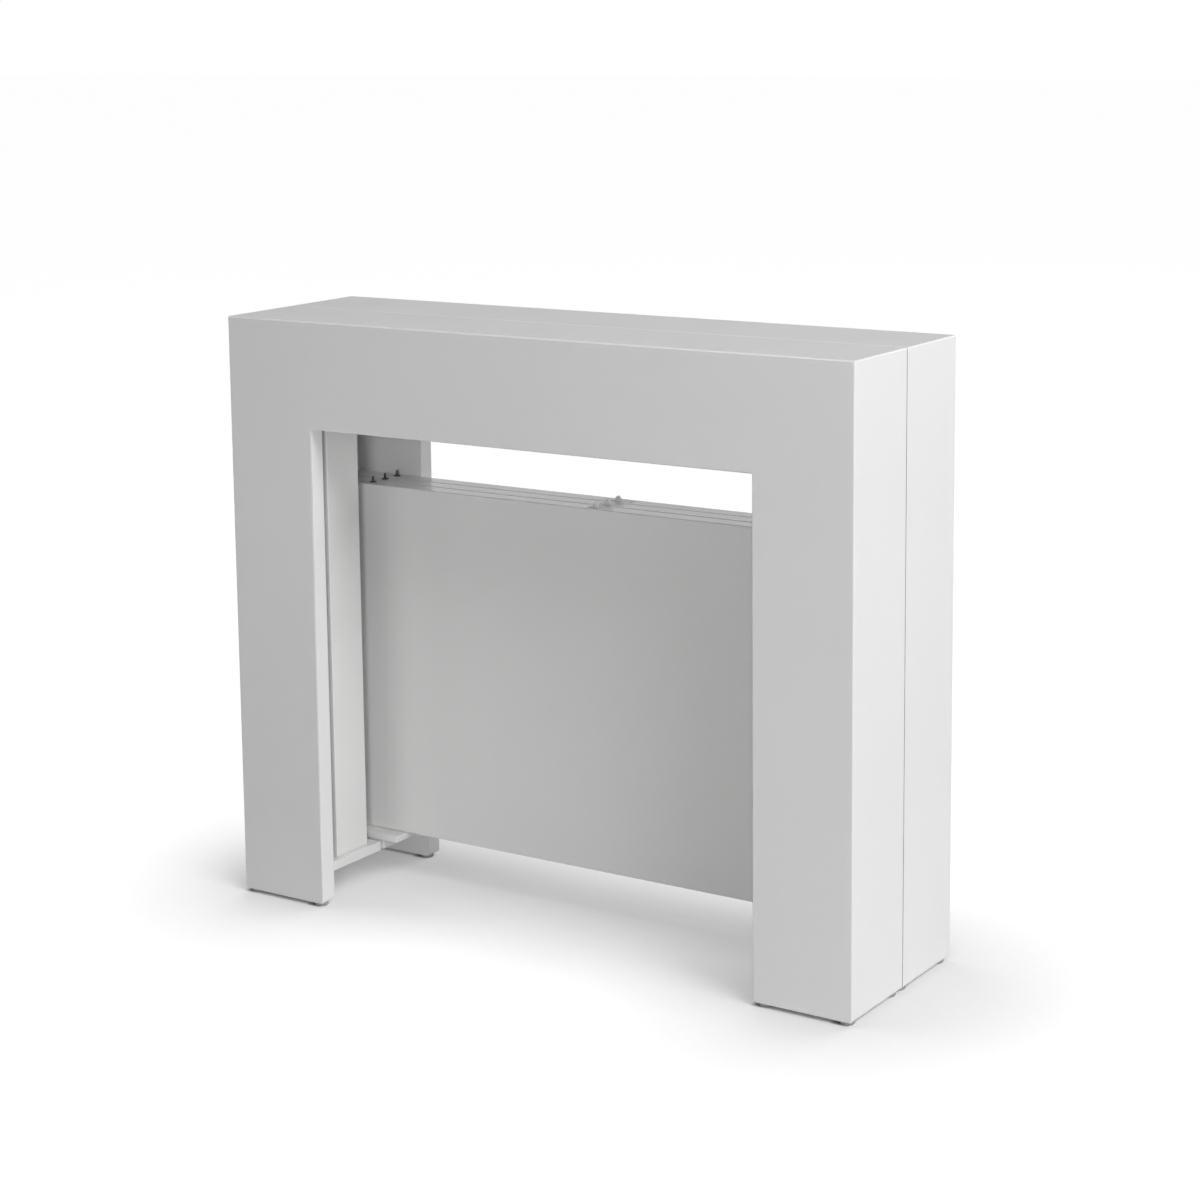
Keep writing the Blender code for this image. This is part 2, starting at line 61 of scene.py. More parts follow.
FOOT_CLEARANCE = 0.005
ARRIS = 0.002
SEAM_ARRIS = 0.0018
SIDE_SEAM_ARRIS = 0.0004
EDGE_ARRIS = 0.0005
FOOT_ROUND = 0.005
FOOT_LEVELS = (0.0, 0.0002, 0.0006, 0.001, 0.002, 0.0035, FOOT_ROUND)
SEAM_HALF = 0.001
LEAF_MIDDLE = 0.7475
CUT_OVER = 0.004

# Pins and their stepped holes: place along the seam, and radius and depth from the bottom of a hole up
PIN_X = 0.3445
SOCKET = (
    (0.0, 0.0084),
    (0.0024, 0.0084),
    (0.0024, 0.0019),
    (0.00515, 0.0019),
    (0.00515, -CUT_OVER),
    (0.0, -CUT_OVER),
)

# Catch and its tongue: places along the seam, half sizes and depths of what is cut for them
CATCH_X = 0.010
CATCH_HALF = (0.0173, 0.0073)
CATCH_SUNK = 0.0023
TONGUE_X = CATCH_X - 0.007
TONGUE_HALF = (0.0039, 0.0019)
SLOT_LENGTH = 0.009
SLOT_SIDES = (-0.0059, -0.0025)
SLOT_TOP = -0.001
SLOT_DEPTH = 0.010

# Screws: head radius, head height
RAIL_SCREW = (0.0038, 0.0022)
CATCH_SCREW = (0.0017, 0.0004)

# Places of the screws: from the seam outwards under a rail's lug, and along the seam in a catch's plate
RAIL_SCREW_ROWS = (0.016, 0.050, 0.084)
LUG_WIDTH = 0.018
LUG_THICKNESS = 0.003
CATCH_SCREW_X = (CATCH_X + 0.002, CATCH_X + 0.013)
SCREW_SUNK = 0.0001

# Steps round an arc and round a turned shape, the distances at which points and slivers are merged, and the
# angle from which an edge of a screw stays sharp
ARC_STEPS = 8
TURN_STEPS = 32
MERGE = 0.000002
SLIVER = 0.000001
SHARP = math.radians(40)

# The turn that lays a leaf's upper edge into the seam: z goes to +y and y to -z
INTO_SEAM = ((1, 0, 0), (0, 0, 1), (0, -1, 0))


# Surfaces


def arc(centre, radius, start, stop, steps=ARC_STEPS):
    """Points at a radius round a centre, at even steps from one angle to the other."""
    angle = np.linspace(start, stop, steps + 1)
    return np.stack([centre[0] + radius * np.cos(angle), centre[1] + radius * np.sin(angle)], axis=-1)


def surface_mesh(name, points, smooth=None, capped=False, marks=()):
    """A mesh on a grid of points, rows by columns, whose columns close on themselves. Each square joins two
    rows and two columns. Caps fill the first and the last row. Points that fall together are merged. Marks,
    with one value for each point, are kept as attributes for the finish."""
    rows, columns = points.shape[:2]
    row = np.arange(rows - 1)[:, None] * columns
    column = np.arange(columns)[None, :]
    following = (column + 1) % columns
    corners = [row + column, row + following, row + columns + following, row + columns + column]
    faces = np.stack(corners, axis=-1).reshape(-1, 4).tolist()
    flags = np.ones((rows - 1, columns), bool) if smooth is None else smooth
    flags = flags.reshape(-1).tolist()
    if capped:
        faces += [list(range(columns)), list(range((rows - 1) * columns, rows * columns))]
        flags += [False, False]
    mesh = bpy.data.meshes.new(name)
    mesh.from_pydata(points.reshape(-1, 3).tolist(), [], faces)
    mesh.polygons.foreach_set("use_smooth", flags)
    for mark, values in dict(marks).items():
        mesh.attributes.new(mark, "FLOAT", "POINT").data.foreach_set("value", values.reshape(-1))
    return closed(mesh)


def closed(mesh):
    """The mesh with its doubles merged, its flat slivers gone and its faces pointing outwards."""
    work = bmesh.new()
    work.from_mesh(mesh)
    bmesh.ops.remove_doubles(work, verts=work.verts, dist=MERGE)
    bmesh.ops.dissolve_degenerate(work, edges=work.edges, dist=SLIVER)
    bmesh.ops.recalc_face_normals(work, faces=work.faces)
    work.to_mesh(mesh)
    work.free()
    return mesh


def moved(mesh, turn, place):
    """Every point of the mesh turned by a 3 by 3 matrix about the origin and then set at a place."""
    points = np.empty(len(mesh.vertices) * 3)
    mesh.vertices.foreach_get("co", points)
    points = points.reshape(-1, 3) @ np.asarray(turn).T + np.asarray(place)
    mesh.vertices.foreach_set("co", points.reshape(-1))
    mesh.update()
    return mesh


def turned_points(profile, steps=TURN_STEPS):
    """A profile of radius and height carried round z: x and y are the radius times the cosine and sine."""
    radius, height = np.asarray(profile, float).T
    angle = np.linspace(0.0, 2 * np.pi, steps, endpoint=False)[None, :]
    level = np.broadcast_to(height[:, None], (len(height), steps))
    return np.stack([radius[:, None] * np.cos(angle), radius[:, None] * np.sin(angle), level], axis=-1)


def block_points(low, high):
    """A block as a rectangle, corner by corner, carried from its lowest to its highest level."""
    x = np.array([low[0], high[0], high[0], low[0]])
    y = np.array([low[1], low[1], high[1], high[1]])
    return np.stack([np.stack([x, y, np.full(4, level)], axis=-1) for level in (low[2], high[2])])


# The lacquered portals


def portal_section(reach, seam_arris):
    """The closed outline of a portal's boards: inset from its outside, and depth from its face. The face
    board reaches inwards as far as the leg is wide or the beam is high. With it come flags of its points:
    those that start a piece of an arc, those inside the outer arcs, which carry the painted highlight along
    the top, and those of the seam edge, which carry painted shade."""
    quarter = np.pi / 2
    pieces = [
        arc((ARRIS, ARRIS), ARRIS, 2 * quarter, 3 * quarter),
        arc((reach - SEAM_ARRIS, SEAM_ARRIS), SEAM_ARRIS, -quarter, 0.0),
        arc((reach - EDGE_ARRIS, PANEL - EDGE_ARRIS), EDGE_ARRIS, 0.0, quarter, 3),
        np.array([[PANEL, PANEL]]),
        arc((PANEL - EDGE_ARRIS, PORTAL_DEPTH - EDGE_ARRIS), EDGE_ARRIS, 0.0, quarter, 3),
        arc((seam_arris, PORTAL_DEPTH - seam_arris), seam_arris, quarter, 2 * quarter),
    ]
    curved = np.concatenate([np.arange(len(piece)) < len(piece) - 1 for piece in pieces])
    number = np.repeat(np.arange(len(pieces)), [len(piece) for piece in pieces])
    outer = curved & np.roll(curved, 1) & np.isin(number, (0, 5))
    seam_edge = (number == 4) | ((number == 5) & (np.roll(number, 1) == 4))
    return np.concatenate(pieces), curved, outer, seam_edge


def rounded_off(inset, radius, level):
    """Distances from a face, drawn in where the foot is rounded: a face at height level above the foot
    stands back by radius less the root of radius squared less (radius - level) squared."""
    below = max(radius - level, 0.0)
    back = radius - math.sqrt(radius * radius - below * below)
    return np.where(inset < radius, back + inset * (1.0 - back / radius), inset)


def foot_row(section, level):
    """A leg's section near its foot: its outer side, its arch edge, its face and its seam edge drawn in."""
    inset, depth = section[:, 0], section[:, 1]
    inset = rounded_off(inset, FOOT_ROUND, level)
    inset = LEG_WIDTH - rounded_off(LEG_WIDTH - inset, FOOT_ROUND, level)
    depth = rounded_off(depth, SEAM_ARRIS, level)
    depth = PORTAL_DEPTH - rounded_off(PORTAL_DEPTH - depth, SEAM_ARRIS, level)
    return inset, depth


def portal_points():
    """The section carried up the left leg, along the beam and down the right leg. At a corner a point with
    inset less than the arris goes round an arc of what is left of the arris, and any other point turns
    sharply. The seam's arris is finer up the legs than along the beam, and depth passes evenly from one to
    the other round the corner. Marks go on the arrises along the top, for a painted highlight, and on the
    whole seam edge, for painted shade."""
    leg, curved, outer, seam_edge = portal_section(LEG_WIDTH, SIDE_SEAM_ARRIS)
    beam = portal_section(BEAM_HEIGHT, SEAM_ARRIS)[0]
    half = TABLE_WIDTH / 2
    left = []
    for level in FOOT_LEVELS:
        inset, depth = foot_row(leg, level)
        left.append(np.stack([inset - half, depth, np.full(len(leg), FOOT_CLEARANCE + level)], axis=-1))
    for angle in np.linspace(0.0, np.pi / 2, ARC_STEPS + 1):
        leg_bend = np.maximum(ARRIS - leg[:, 0], 0.0)
        beam_bend = np.maximum(ARRIS - beam[:, 0], 0.0)
        x = np.maximum(leg[:, 0], ARRIS) - half - leg_bend * np.cos(angle)
        z = TABLE_HEIGHT - np.maximum(beam[:, 0], ARRIS) + beam_bend * np.sin(angle)
        depth = leg[:, 1] + (beam[:, 1] - leg[:, 1]) * angle / (np.pi / 2)
        left.append(np.stack([x, depth, z], axis=-1))
    left = np.stack(left)
    right = left[::-1] * (-1.0, 1.0, 1.0)
    points = np.concatenate([left, right])
    outside = np.zeros(len(leg), bool)
    outside[-1] = True
    bends = np.ones(len(left) - 1, bool)
    bends[len(FOOT_LEVELS) - 1] = False
    bends = np.concatenate([bends, [False], bends[::-1]])
    smooth = curved[None, :] | (outside[None, :] & bends[:, None])
    along_top = np.zeros(len(points), bool)
    along_top[len(left) - 1:len(left) + 1] = True
    arris = along_top[:, None] & outer[None, :]
    edge = np.broadcast_to(seam_edge, arris.shape)
    return points, smooth, {"arris": arris.astype(float), "seam_edge": edge.astype(float)}


def edge_fitting(points, edge):
    """Points worked out on a leaf's edge, with z out of it, laid into the seam at depth edge: z goes to +y
    and y to -z, at the height of the leaf's middle."""
    return np.stack([points[..., 0], edge + points[..., 2], LEAF_MIDDLE - points[..., 1]], axis=-1)


def with_cuts(mesh, cutters):
    """The mesh less the closed shapes in cutters."""
    blank = bpy.data.objects.new("portal_blank", mesh)
    tools = [bpy.data.objects.new("seam_cutter", cutter) for cutter in cutters]
    for item in (blank, *tools):
        bpy.context.scene.collection.objects.link(item)
    for tool in tools:
        cut = blank.modifiers.new("cut", "BOOLEAN")
        cut.object = tool
        cut.solver = "EXACT"
    bpy.context.view_layer.update()
    graph = bpy.context.evaluated_depsgraph_get()
    done = bpy.data.meshes.new_from_object(blank.evaluated_get(graph))
    for item in (blank, *tools):
        bpy.data.objects.remove(item, do_unlink=True)
    return done


def pin_sockets(edge):
    """Stepped holes for the pins of the next leaf, one at each end of the seam edge."""
    hole = turned_points(SOCKET)
    return [
        surface_mesh("pin_socket", edge_fitting(hole + (side * PIN_X, 0.0, 0.0), edge))
        for side in (-1, 1)
    ]


def seam_block(low, high, edge):
    return surface_mesh("seam_block", edge_fitting(block_points(low, high), edge), capped=True)


# Finishes

# Tones painted into the lacquer: a painted highlight along the top arrises, and painted shade on the seam
# edges
ARRIS_PAINTED_HIGHLIGHT = (1.0, 1.0, 0.997)
SEAM_PAINTED_SHADE = (0.42, 0.42, 0.418)


def new_finish(name):
    material = bpy.data.materials.new(name)
    material.use_nodes = True
    return material, material.node_tree, material.node_tree.nodes["Principled BSDF"]


def add_node(tree, kind, inputs=(), **settings):
    """A node of a kind, with its settings, and its inputs set to values or linked to other outputs."""
    node = tree.nodes.new(kind)
    for key, value in settings.items():
        setattr(node, key, value)
    for key, value in dict(inputs).items():
        if isinstance(value, bpy.types.NodeSocket):
            tree.links.new(value, node.inputs[key])
        else:
            node.inputs[key].default_value = value
    return node


def cloud(tree, scale, detail=2.0, stretch=(1.0, 1.0, 1.0)):
    """Soft noise on Object coordinates, from 0 to 1, drawn out along the axes with a small stretch."""
    place = add_node(tree, "ShaderNodeTexCoord").outputs["Object"]
    spread = add_node(tree, "ShaderNodeMapping", {"Vector": place, "Scale": stretch}).outputs["Vector"]
    inputs = {"Vector": spread, "Scale": scale, "Detail": detail}
    return add_node(tree, "ShaderNodeTexNoise", inputs).outputs["Fac"]


def between(tree, value, low, high, start=0.3, stop=0.7):
    """The value's range from start to stop carried over to low and high."""
    inputs = {"Value": value, "From Min": start, "From Max": stop, "To Min": low, "To Max": high}
    return add_node(tree, "ShaderNodeMapRange", inputs).outputs["Result"]


def blend(tree, share, first, second):
    """The first colour, giving way to the second by a share."""
    mix = add_node(tree, "ShaderNodeMix", {"Factor": share, 6: first, 7: (*second, 1.0)}, data_type="RGBA")
    return mix.outputs[2]


def tint(tree, value, dark, light):
    """A colour between dark and light."""
    return blend(tree, between(tree, value, 0.0, 1.0), (*dark, 1.0), light)


def relief(tree, height, strength, distance):
    inputs = {"Height": height, "Strength": strength, "Distance": distance}
    return add_node(tree, "ShaderNodeBump", inputs).outputs["Normal"]


def wire(tree, shader, **outputs):
    names = {"colour": "Base Color", "roughness": "Roughness", "normal": "Normal"}
    for key, output in outputs.items():
        tree.links.new(output, shader.inputs[names[key]])


def lacquer(name, dark, light, gloss, roughness, marked=False):
    """Satin lacquer: a faint drift of tone, a sheen that varies a little, and the spray's fine orange peel.
    Where it is marked, a highlight is painted lighter along the top arrises, and shade is painted darker on
    the seam edges."""
    material, tree, shader = new_finish(name)
    drift = cloud(tree, 2.6, 3.0)
    sheen = cloud(tree, 14.0, 3.0)
    peel = cloud(tree, 380.0, 1.5)
    colour = tint(tree, drift, dark, light)
    if marked:
        arris = add_node(tree, "ShaderNodeAttribute", attribute_name="arris").outputs["Fac"]
        edge = add_node(tree, "ShaderNodeAttribute", attribute_name="seam_edge").outputs["Fac"]
        # Painted highlight: the top arrises are made lighter in colour
        colour = blend(tree, arris, colour, ARRIS_PAINTED_HIGHLIGHT)
        # Painted shade: the seam edges, in the gap between the portals, are made darker in colour
        colour = blend(tree, edge, colour, SEAM_PAINTED_SHADE)
    shader.inputs["Specular IOR Level"].default_value = gloss
    wire(
        tree,
        shader,
        colour=colour,
        roughness=between(tree, sheen, *roughness),
        normal=relief(tree, peel, 0.10, 0.0002),
    )
    return material


def board_foil():
    """White foil on board: a fine pearl grain pressed into it, duller than the lacquer."""
    material, tree, shader = new_finish("board_foil")
    grain = cloud(tree, 900.0, 2.0, (1.0, 1.0, 0.35))
    drift = cloud(tree, 5.0)
    wire(
        tree,
        shader,
        colour=tint(tree, drift, (0.76, 0.76, 0.755), (0.80, 0.80, 0.795)),
        roughness=between(tree, grain, 0.48, 0.60),
        normal=relief(tree, grain, 0.18, 0.00015),
    )
    return material


def drawn_aluminium():
    """Drawn aluminium: fine lines along the rail, in the tone, in the sheen and in the surface."""
    material, tree, shader = new_finish("drawn_aluminium")
    lines = cloud(tree, 700.0, 3.0, (1.0, 0.012, 1.0))
    drift = cloud(tree, 30.0, 3.0, (1.0, 0.25, 1.0))
    shader.inputs["Metallic"].default_value = 1.0
    wire(
        tree,
        shader,
        colour=tint(tree, drift, (0.66, 0.67, 0.68), (0.76, 0.765, 0.77)),
        roughness=between(tree, lines, 0.28, 0.44),
        normal=relief(tree, lines, 0.20, 0.0001),
    )
    return material


def zinc_plate():
    """Dull zinc plating under a clear seal: small crystals of slightly unlike tone, and a soft sheen."""
    material, tree, shader = new_finish("zinc_plate")
    place = add_node(tree, "ShaderNodeTexCoord").outputs["Object"]
    crystals = add_node(tree, "ShaderNodeTexVoronoi", {"Vector": place, "Scale": 900.0}).outputs["Distance"]
    shader.inputs["Metallic"].default_value = 0.1
    wire(
        tree,
        shader,
        colour=tint(tree, crystals, (0.80, 0.803, 0.806), (0.88, 0.882, 0.884)),
        roughness=between(tree, crystals, 0.46, 0.60),
        normal=relief(tree, crystals, 0.10, 0.0001),
    )
    return material


def blackened_steel():
    """Blackened steel: near black, with lighter rubbed specks."""
    material, tree, shader = new_finish("blackened_steel")
    rubbed = cloud(tree, 1500.0, 3.0)
    wire(
        tree,
        shader,
        colour=tint(tree, rubbed, (0.012, 0.012, 0.012), (0.04, 0.04, 0.04)),
        roughness=between(tree, rubbed, 0.36, 0.5),
        normal=relief(tree, rubbed, 0.12, 0.0001),
    )
    return material


def grey_nylon():
    """Moulded nylon: a matt, slightly mottled grey."""
    material, tree, shader = new_finish("grey_nylon")
    mottle = cloud(tree, 420.0, 3.0)
    wire(
        tree,
        shader,
        colour=tint(tree, mottle, (0.28, 0.28, 0.28), (0.36, 0.36, 0.355)),
        roughness=between(tree, mottle, 0.5, 0.64),
        normal=relief(tree, mottle, 0.15, 0.0002),
    )
    return material


FINISHES = {
    "lacquer": lacquer(
        "white_lacquer",
        dark=(0.815, 0.815, 0.812),
        light=(0.845, 0.845, 0.842),
        gloss=0.28,
        roughness=(0.40, 0.47),
        marked=True,
    ),
    "leaf_lacquer": lacquer(
        "leaf_lacquer",
        dark=(0.80, 0.80, 0.797),
        light=(0.83, 0.83, 0.827),
        gloss=0.5,
        roughness=(0.20, 0.26),
    ),
    "board": board_foil(),
    "aluminium": drawn_aluminium(),
    "steel": zinc_plate(),
    "blackened_steel": blackened_steel(),
    "nylon": grey_nylon(),
}
for subpart in frame["record"]["subparts"]:
    solid = frame["nodes"][subpart["node"]]
    solid.data.materials.clear()
    solid.data.materials.append(FINISHES[subpart["material_slot"]])


def add_piece(name, mesh, slot, body):
    """A piece in the finish of a material slot, that moves with a body."""
    piece = bpy.data.objects.new(name, mesh)
    mesh.name = name
    mesh.materials.clear()
    mesh.materials.append(FINISHES[slot])
    bpy.context.scene.collection.objects.link(piece)
    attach(piece, body)
    return piece


# Portals in one coat of lacquer, over their mitres

shape, shape_smooth, shape_marks = portal_points()
rear_shape = shape * (-1.0, -1.0, 1.0) + (0.0, TABLE_DEPTH / 2, 0.0)
front_shape = shape - (0.0, TABLE_DEPTH / 2, 0.0)
front_cuts = [
    seam_block(
        (CATCH_X - CATCH_HALF[0], -CATCH_HALF[1], -CATCH_SUNK),
        (CATCH_X + CATCH_HALF[0], CATCH_HALF[1], CUT_OVER),
        -SEAM_HALF,
    ),
    seam_block(
        (TONGUE_X - SLOT_LENGTH, SLOT_SIDES[0], -SLOT_DEPTH),
        (TONGUE_X, SLOT_SIDES[1], SLOT_TOP),
        -SEAM_HALF,
    ),
]
rear_cuts = [
    *pin_sockets(SEAM_HALF),
    seam_block(
        (TONGUE_X - TONGUE_HALF[0], -TONGUE_HALF[1], -CUT_OVER),
        (TONGUE_X + TONGUE_HALF[0], TONGUE_HALF[1], SLOT_DEPTH),
        SEAM_HALF,
    ),
]
for body, points, cuts, face in (
    ("front_portal", front_shape, front_cuts, "front_face_panel"),
    ("rear_portal", rear_shape, rear_cuts, "rear_back_panel"),
):
    blank = surface_mesh(f"{body}_lacquer", points, shape_smooth, capped=True, marks=shape_marks)
    coat = with_cuts(blank, cuts)
    portal = add_piece(f"{body}_coat", coat, "lacquer", body)
    boards = ("left_side_panel", "right_side_panel", "top_panel")
    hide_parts(face, *(f"{body.split('_')[0]}_{board}" for board in boards))


# Fittings of the front portal's seam edge, the same as a leaf has on its upper edge


def seam_copy(name, node, slot):
    """A leaf fitting's own shape, taken from the first leaf's upper edge and laid into the front seam."""
    low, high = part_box("leaf_1")
    mesh = closed(frame["nodes"][node].data.copy())
    edge = np.array([0.0, (low.y + high.y) / 2, high.z])
    moved(mesh, np.eye(3), -edge)
    moved(mesh, INTO_SEAM, (0.0, -SEAM_HALF, LEAF_MIDDLE))
    return add_piece(name, mesh, slot, "front_portal")


seam_copy("front_seam_left_pin", "leaf_1_left_pin", "blackened_steel")
seam_copy("front_seam_right_pin", "leaf_1_right_pin", "blackened_steel")
seam_copy("front_seam_catch", "leaf_1_catch", "steel")


# Screws


def screw_points(radius, height):
    """A screw head in rings: out along its underside, up its rim and over a low dome that is height times
    one less 0.6 of the squared share of the radius. Two crossed slots are let into the dome, inside six
    tenths of the radius: 0.75 of the height deep where the smaller of |x| and |y| is under 0.11 of the
    radius, and running out at 0.17 of it."""
    share = np.array([0.0, 1.0, 1.0, 0.96, 0.86, 0.74, 0.64, 0.58, 0.45, 0.32, 0.2, 0.1, 0.0])
    angle = np.linspace(0.0, 2 * np.pi, TURN_STEPS, endpoint=False)[None, :]
    x = share[:, None] * np.cos(angle)
    y = share[:, None] * np.sin(angle)
    level = 1.0 - 0.6 * share[:, None] ** 2
    slot = np.clip((0.17 - np.minimum(np.abs(x), np.abs(y))) / 0.06, 0.0, 1.0) * (share[:, None] < 0.6)
    level = level - 0.75 * slot
    level[:2] = 0.0
    return np.stack([x * radius, y * radius, level * height], axis=-1)


def screws_mesh(name, size, turn, places):
    """One screw head turned to its axis and set at every place, as one mesh."""
    head = surface_mesh(name, screw_points(*size))
    moved(head, turn, (0.0, 0.0, 0.0))
    points = np.empty(len(head.vertices) * 3)
    head.vertices.foreach_get("co", points)
    points = points.reshape(-1, 3)
    everywhere = (points[None] + np.asarray(places)[:, None]).reshape(-1, 3)
    faces = [list(face.vertices) for face in head.polygons]
    count = len(points)
    repeated = [[index + count * copy for index in face] for copy in range(len(places)) for face in faces]
    mesh = bpy.data.meshes.new(name)
    mesh.from_pydata(everywhere.tolist(), [], repeated)
    mesh.shade_smooth()
    mesh.set_sharp_from_angle(angle=SHARP)
    bpy.data.meshes.remove(head)
    return mesh


def add_rail_screws(side, member, body):
    """A row of screws under a rail's lug. A fixed member has its lug on the side away from the table's
    middle, and a moving member on the side towards it."""
    low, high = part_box(f"{side}_rail_{member}")
    _, bar_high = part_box(f"{side}_rail_member_1")
    lug_on_right = (side == "right") == (member == "fixed_member")
    x = high.x - LUG_WIDTH / 2 if lug_on_right else low.x + LUG_WIDTH / 2
    rows = np.array(RAIL_SCREW_ROWS)
    if body == "front_portal":
        rows = -rows[::-1]
    under = bar_high.z - LUG_THICKNESS
    places = np.stack([np.full(len(rows), x), rows, np.full(len(rows), under)], axis=-1)
    mesh = screws_mesh("rail_screws", RAIL_SCREW, np.diag([1.0, -1.0, -1.0]), places)
    add_piece(f"{side}_rail_{member}_screws", mesh, "steel", body)


for side in ("left", "right"):
    add_rail_screws(side, "fixed_member", "rear_portal")
    add_rail_screws(side, "moving_member", "front_portal")

for number in (1, 2, 3):
    low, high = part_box(f"leaf_{number}")
    middle = (low.y + high.y) / 2
    places = [(x, middle, high.z - SCREW_SUNK) for x in CATCH_SCREW_X]
    mesh = screws_mesh("catch_screws", CATCH_SCREW, np.eye(3), places)
    add_piece(f"leaf_{number}_catch_screws", mesh, "steel", f"leaf_{number}")

places = [(x, -SEAM_HALF - SCREW_SUNK, LEAF_MIDDLE) for x in CATCH_SCREW_X]
mesh = screws_mesh("catch_screws", CATCH_SCREW, INTO_SEAM, places)
add_piece("front_seam_catch_screws", mesh, "steel", "front_portal")


# Studio

WHITE = (1.0, 1.0, 1.0, 1.0)
AMBIENT = 0.015

# The floor's half width, its plain tone, and, by its share of open sky, its glow, which paints shade, and
# its paper share, which shows the lamps' shadows
FLOOR_HALF = 30.0
PLAIN_PAPER = (0.80, 0.80, 0.80, 1.0)
FLOOR_REACH = 0.25
FLOOR_GLOW = (
    (0.05, 0.18), (0.15, 0.31), (0.35, 0.37), (0.55, 0.37),
    (0.7, 0.52), (0.8, 0.78), (0.9, 0.89), (1.0, 0.985),
)
FLOOR_PAPER = (
    (0.05, 0.78), (0.15, 0.63), (0.35, 0.51), (0.55, 0.45),
    (0.7, 0.36), (0.8, 0.16), (0.9, 0.08), (1.0, 0.10),
)

# The painted contact shadow close under an edge: its reach, the way to the main lamp, and tones by the share
# of open sky
CONTACT_REACH = 0.012
CONTACT_LIGHT = (0.785, -0.196, 0.588)
CONTACT = ((0.17, 0.03), (0.35, 0.08), (0.5, 0.35), (0.62, 0.9), (0.7, 1.0))

# Camera: lens and sensor in millimetres, shift, turns in degrees, place
LENS = 79.956
SENSOR = 36.0
SHIFT = (0.05, -0.15)
CAMERA_TURN = 34.172
CAMERA_TIP = 90.0 - 9.030
CAMERA_ROLL = -0.811
CAMERA_PLACE = (1.7679, -2.6847, 1.1545)
CLIP_END = 200.0

# Soft boxes round the table: azimuth from its front towards its right, elevation, power in watts, and width
# in metres. They all look at one point from the same distance.
AIM = (0.0, 0.0, 0.38)
LAMP_DISTANCE = 7.0
LAMPS = {
    "right_soft_box": (76.0, 36.0, 192.0, 3.5),
    "high_right_soft_box": (64.0, 48.0, 110.0, 3.5),
    "low_right_soft_box": (58.0, 12.0, 35.0, 2.0),
    "front_soft_box": (29.0, 10.0, 106.0, 1.0),
    "left_soft_box": (-80.0, 10.0, 25.0, 3.5),
    "back_soft_box": (165.0, 15.0, 144.0, 3.5),
}


def seen_ray(tree):
    """1 for rays from the camera and for those that it sees in gloss or through glass, else 0."""
    path = add_node(tree, "ShaderNodeLightPath").outputs
    inputs = {0: path["Is Camera Ray"], 1: path["Is Glossy Ray"]}
    either = add_node(tree, "ShaderNodeMath", inputs, operation="MAXIMUM")
    inputs = {0: either.outputs[0], 1: path["Is Transmission Ray"]}
    return add_node(tree, "ShaderNodeMath", inputs, operation="MAXIMUM").outputs[0]


def open_sky(tree, reach, towards=(0.0, 0.0, 1.0)):
    """The share of the sky round a direction that nothing within a reach of a point hides."""
    way = add_node(tree, "ShaderNodeCombineXYZ", dict(zip("XYZ", towards))).outputs[0]
    inputs = {"Distance": reach, "Normal": way}
    return add_node(tree, "ShaderNodeAmbientOcclusion", inputs, samples=8).outputs["AO"]


def tones(tree, value, steps):
    """A grey that follows the value over steps of place and tone."""
    ramp = add_node(tree, "ShaderNodeValToRGB", {"Fac": value})
    marks = ramp.color_ramp.elements
    marks[0].position, marks[1].position = steps[0][0], steps[-1][0]
    for place, _ in steps[1:-1]:
        marks.new(place)
    for mark, (_, tone) in zip(marks, steps):
        mark.color = (tone, tone, tone, 1.0)
    return ramp.outputs["Color"]


def studio_floor():
    """A white floor that shows the table's shade, partly painted into its glow. The less open sky a point
    has, the less it glows, as painted shade, and the more it is paper that shows the lamps' shadows. Close
    under an edge both go dark, as a painted contact shadow. All other rays find plain paper."""
    material, tree, shader = new_finish("studio_floor")
    tree.nodes.remove(shader)
    sky = open_sky(tree, FLOOR_REACH)
    contact = tones(tree, open_sky(tree, CONTACT_REACH, CONTACT_LIGHT), CONTACT)
    glow_tone = tones(tree, sky, FLOOR_GLOW)
    paper_tone = tones(tree, sky, FLOOR_PAPER)
    glow = add_node(tree, "ShaderNodeEmission", {"Color": glow_tone, "Strength": contact}).outputs[0]
    dimmed = add_node(tree, "ShaderNodeVectorMath", {0: paper_tone, 1: contact}, operation="MULTIPLY")
    cast = add_node(tree, "ShaderNodeBsdfDiffuse", {"Color": dimmed.outputs[0]}).outputs[0]
    shown = add_node(tree, "ShaderNodeAddShader", {0: glow, 1: cast}).outputs[0]
    paper = add_node(tree, "ShaderNodeBsdfDiffuse", {"Color": PLAIN_PAPER}).outputs[0]
    either = add_node(tree, "ShaderNodeMixShader", {0: seen_ray(tree), 1: paper, 2: shown}).outputs[0]
    tree.links.new(either, tree.nodes["Material Output"].inputs["Surface"])
    return material


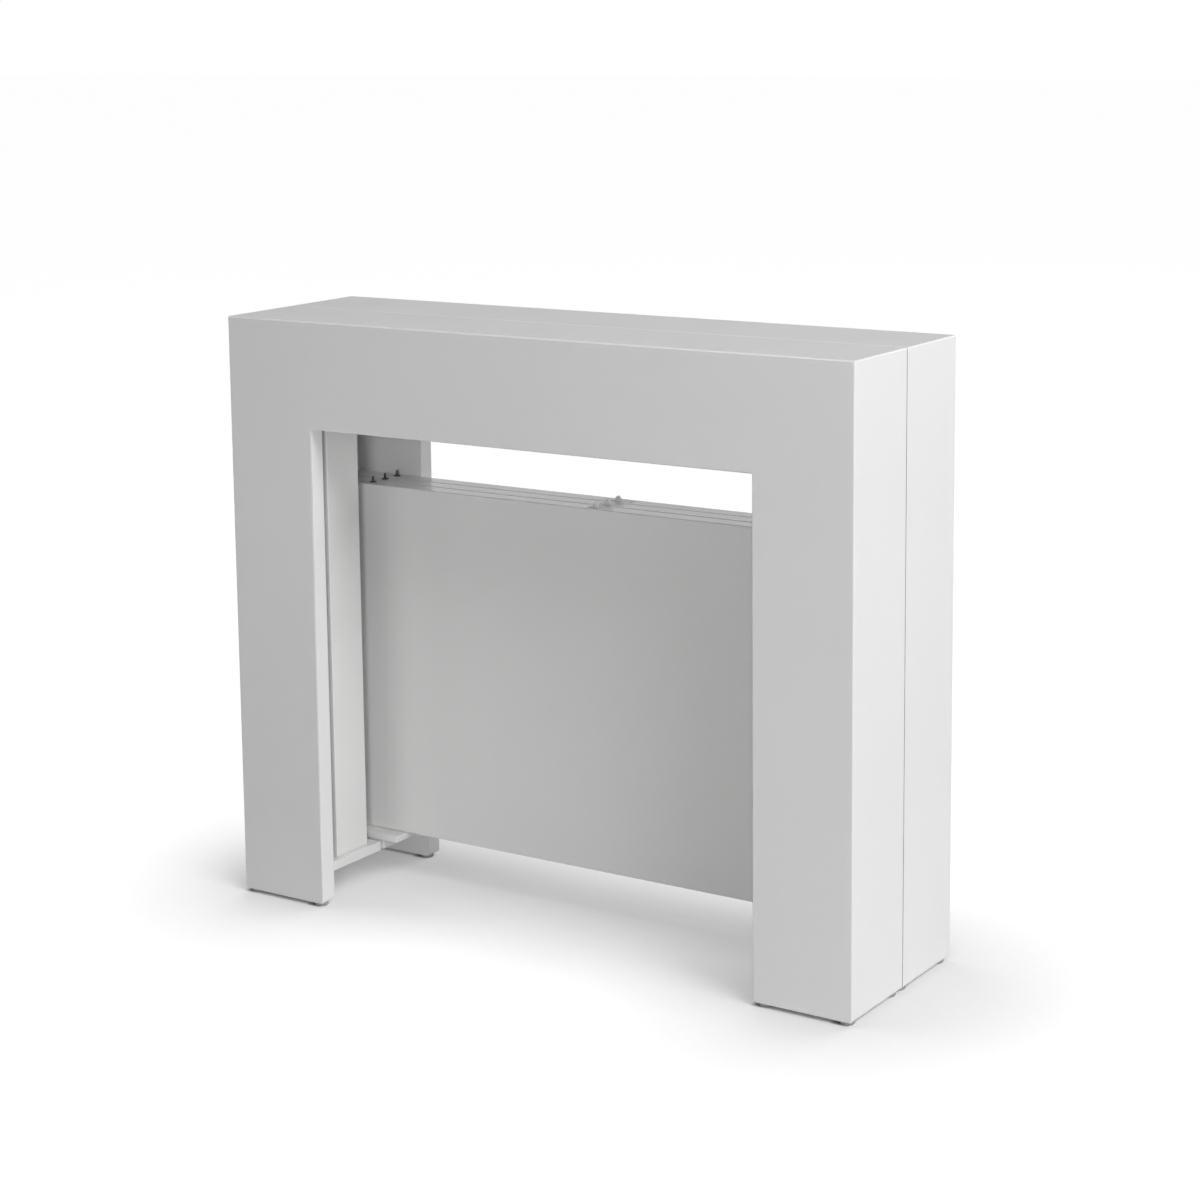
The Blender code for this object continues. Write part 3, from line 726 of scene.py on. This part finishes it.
def add_floor():
    mesh = bpy.data.meshes.new("floor")
    corners = FLOOR_HALF * np.array([(-1, -1, 0), (1, -1, 0), (1, 1, 0), (-1, 1, 0)])
    mesh.from_pydata(corners.tolist(), [], [(0, 1, 2, 3)])
    mesh.materials.append(studio_floor())
    floor = bpy.data.objects.new("floor", mesh)
    bpy.context.scene.collection.objects.link(floor)


def add_world():
    world = bpy.data.worlds.new("studio")
    bpy.context.scene.world = world
    world.use_nodes = True
    tree = world.node_tree
    dim = tree.nodes["Background"]
    dim.inputs["Strength"].default_value = AMBIENT
    dim.inputs["Color"].default_value = WHITE
    white = add_node(tree, "ShaderNodeBackground", {"Strength": 1.0, "Color": WHITE})
    mix = add_node(tree, "ShaderNodeMixShader", {0: seen_ray(tree), 1: dim.outputs[0], 2: white.outputs[0]})
    tree.links.new(mix.outputs[0], tree.nodes["World Output"].inputs["Surface"])


def add_lamp(name, azimuth, elevation, power, width):
    """A round soft box that looks at the table's middle from a distance."""
    light = bpy.data.lights.new(name, "AREA")
    light.shape = "DISK"
    light.size = width
    light.energy = power
    turn, rise = math.radians(azimuth), math.radians(elevation)
    away = Vector((math.sin(turn) * math.cos(rise), -math.cos(turn) * math.cos(rise), math.sin(rise)))
    lamp = bpy.data.objects.new(name, light)
    lamp.location = Vector(AIM) + LAMP_DISTANCE * away
    lamp.rotation_euler = (-away).to_track_quat("-Z", "Y").to_euler()
    bpy.context.scene.collection.objects.link(lamp)


def add_camera():
    """The photograph's view: turned about z, tipped down and rolled, with its frame shifted a little."""
    view = bpy.data.cameras.new("photo_view")
    view.sensor_width = SENSOR
    view.lens = LENS
    view.shift_x, view.shift_y = SHIFT
    view.clip_end = CLIP_END
    camera = bpy.data.objects.new("photo_view", view)
    turn = Matrix.Rotation(math.radians(CAMERA_TURN), 4, "Z")
    tip = Matrix.Rotation(math.radians(CAMERA_TIP), 4, "X")
    roll = Matrix.Rotation(math.radians(CAMERA_ROLL), 4, "Z")
    camera.matrix_world = Matrix.Translation(CAMERA_PLACE) @ turn @ tip @ roll
    bpy.context.scene.collection.objects.link(camera)
    bpy.context.scene.camera = camera


add_floor()
add_world()
for name, lamp in LAMPS.items():
    add_lamp(name, *lamp)
add_camera()
bpy.context.scene.view_settings.view_transform = "Standard"
